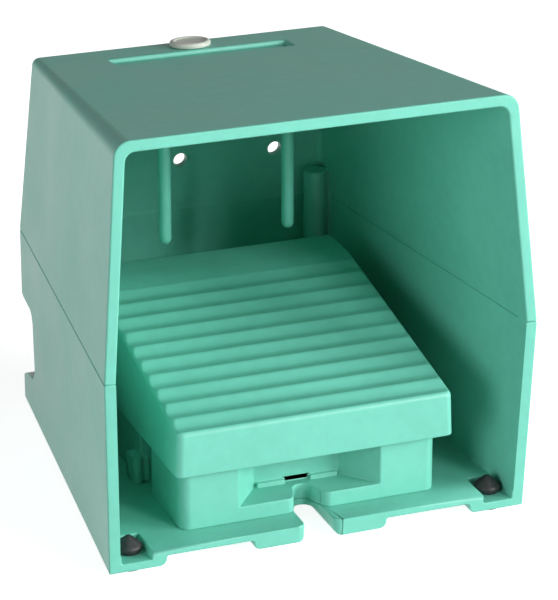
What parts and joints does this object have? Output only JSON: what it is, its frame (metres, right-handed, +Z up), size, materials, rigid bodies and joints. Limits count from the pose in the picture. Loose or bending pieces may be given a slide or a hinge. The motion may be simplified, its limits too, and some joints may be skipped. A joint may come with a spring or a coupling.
{
  "type": "foot switch",
  "caption": "Industrial foot switch: a ribbed pedal under a tapered open-front hood, on a sealed switch case that stands on rubber feet, with a cable entry at the rear",
  "frame": {"origin": "on the ground, under the middle of the bounding box", "axes": "+X to the right of a person who faces the open front's back wall, +Y to the rear, +Z up"},
  "size_m": [0.162, 0.166, 0.1603],
  "materials": {
    "moulding": "semi-gloss moulded pale aqua-green plastic",
    "plug_plastic": "pale translucent moulded plastic",
    "rubber": "matt black rubber",
    "black_plastic": "matt black polyamide",
    "red_plastic": "satin moulded thermoset",
    "dark_steel": "blackened steel",
    "bright_steel": "zinc-plated steel",
    "contact_brass": "bare brass with silvered tips"
  },
  "bodies": {
    "housing": {"base_shell": "moulding", "hood_shell": "moulding", "hood_screws": "dark_steel", "roof_plug": "plug_plastic", "rubber_feet": "rubber", "switch_case": "moulding", "case_screws": "bright_steel", "lid_gasket": "rubber", "case_lid": "moulding", "lid_screws": "bright_steel", "gland_body": "black_plastic", "gland_seal": "rubber", "gland_nut": "black_plastic", "contact_housing": "black_plastic", "housing_screws": "bright_steel", "fixed_contacts": "contact_brass", "terminal_screws": "bright_steel", "plunger_spring": "bright_steel", "plunger_boot": "rubber", "hinge_pin": "bright_steel", "pin_clips": "dark_steel", "return_spring": "bright_steel", "stop_bumpers": "rubber"},
    "pedal": {"pedal": "moulding"},
    "plunger": {"plunger": "red_plastic", "contact_bridges": "contact_brass"}
  },
  "joints": [
    {"name": "pedal_hinge", "type": "hinge", "parent": "housing", "child": "pedal", "pos_m": [0, 0.0307, 0.044], "axis": [1, 0, 0], "range_deg": [0, 6], "stiffness_Nm_per_rad": 6, "springref_deg": -6.88, "deforming": ["return_spring"]},
    {"name": "plunger_slide", "type": "slide", "parent": "housing", "child": "plunger", "axis": [0, 0, -1], "range_m": [0, 0.0043], "stiffness_N_per_m": 300, "springref_m": -0.002, "deforming": ["plunger_spring", "plunger_boot"]}
  ],
  "couplings": [
    {"joint": "plunger_slide", "follows": "pedal_hinge", "m_per_rad": 0.04}
  ]
}
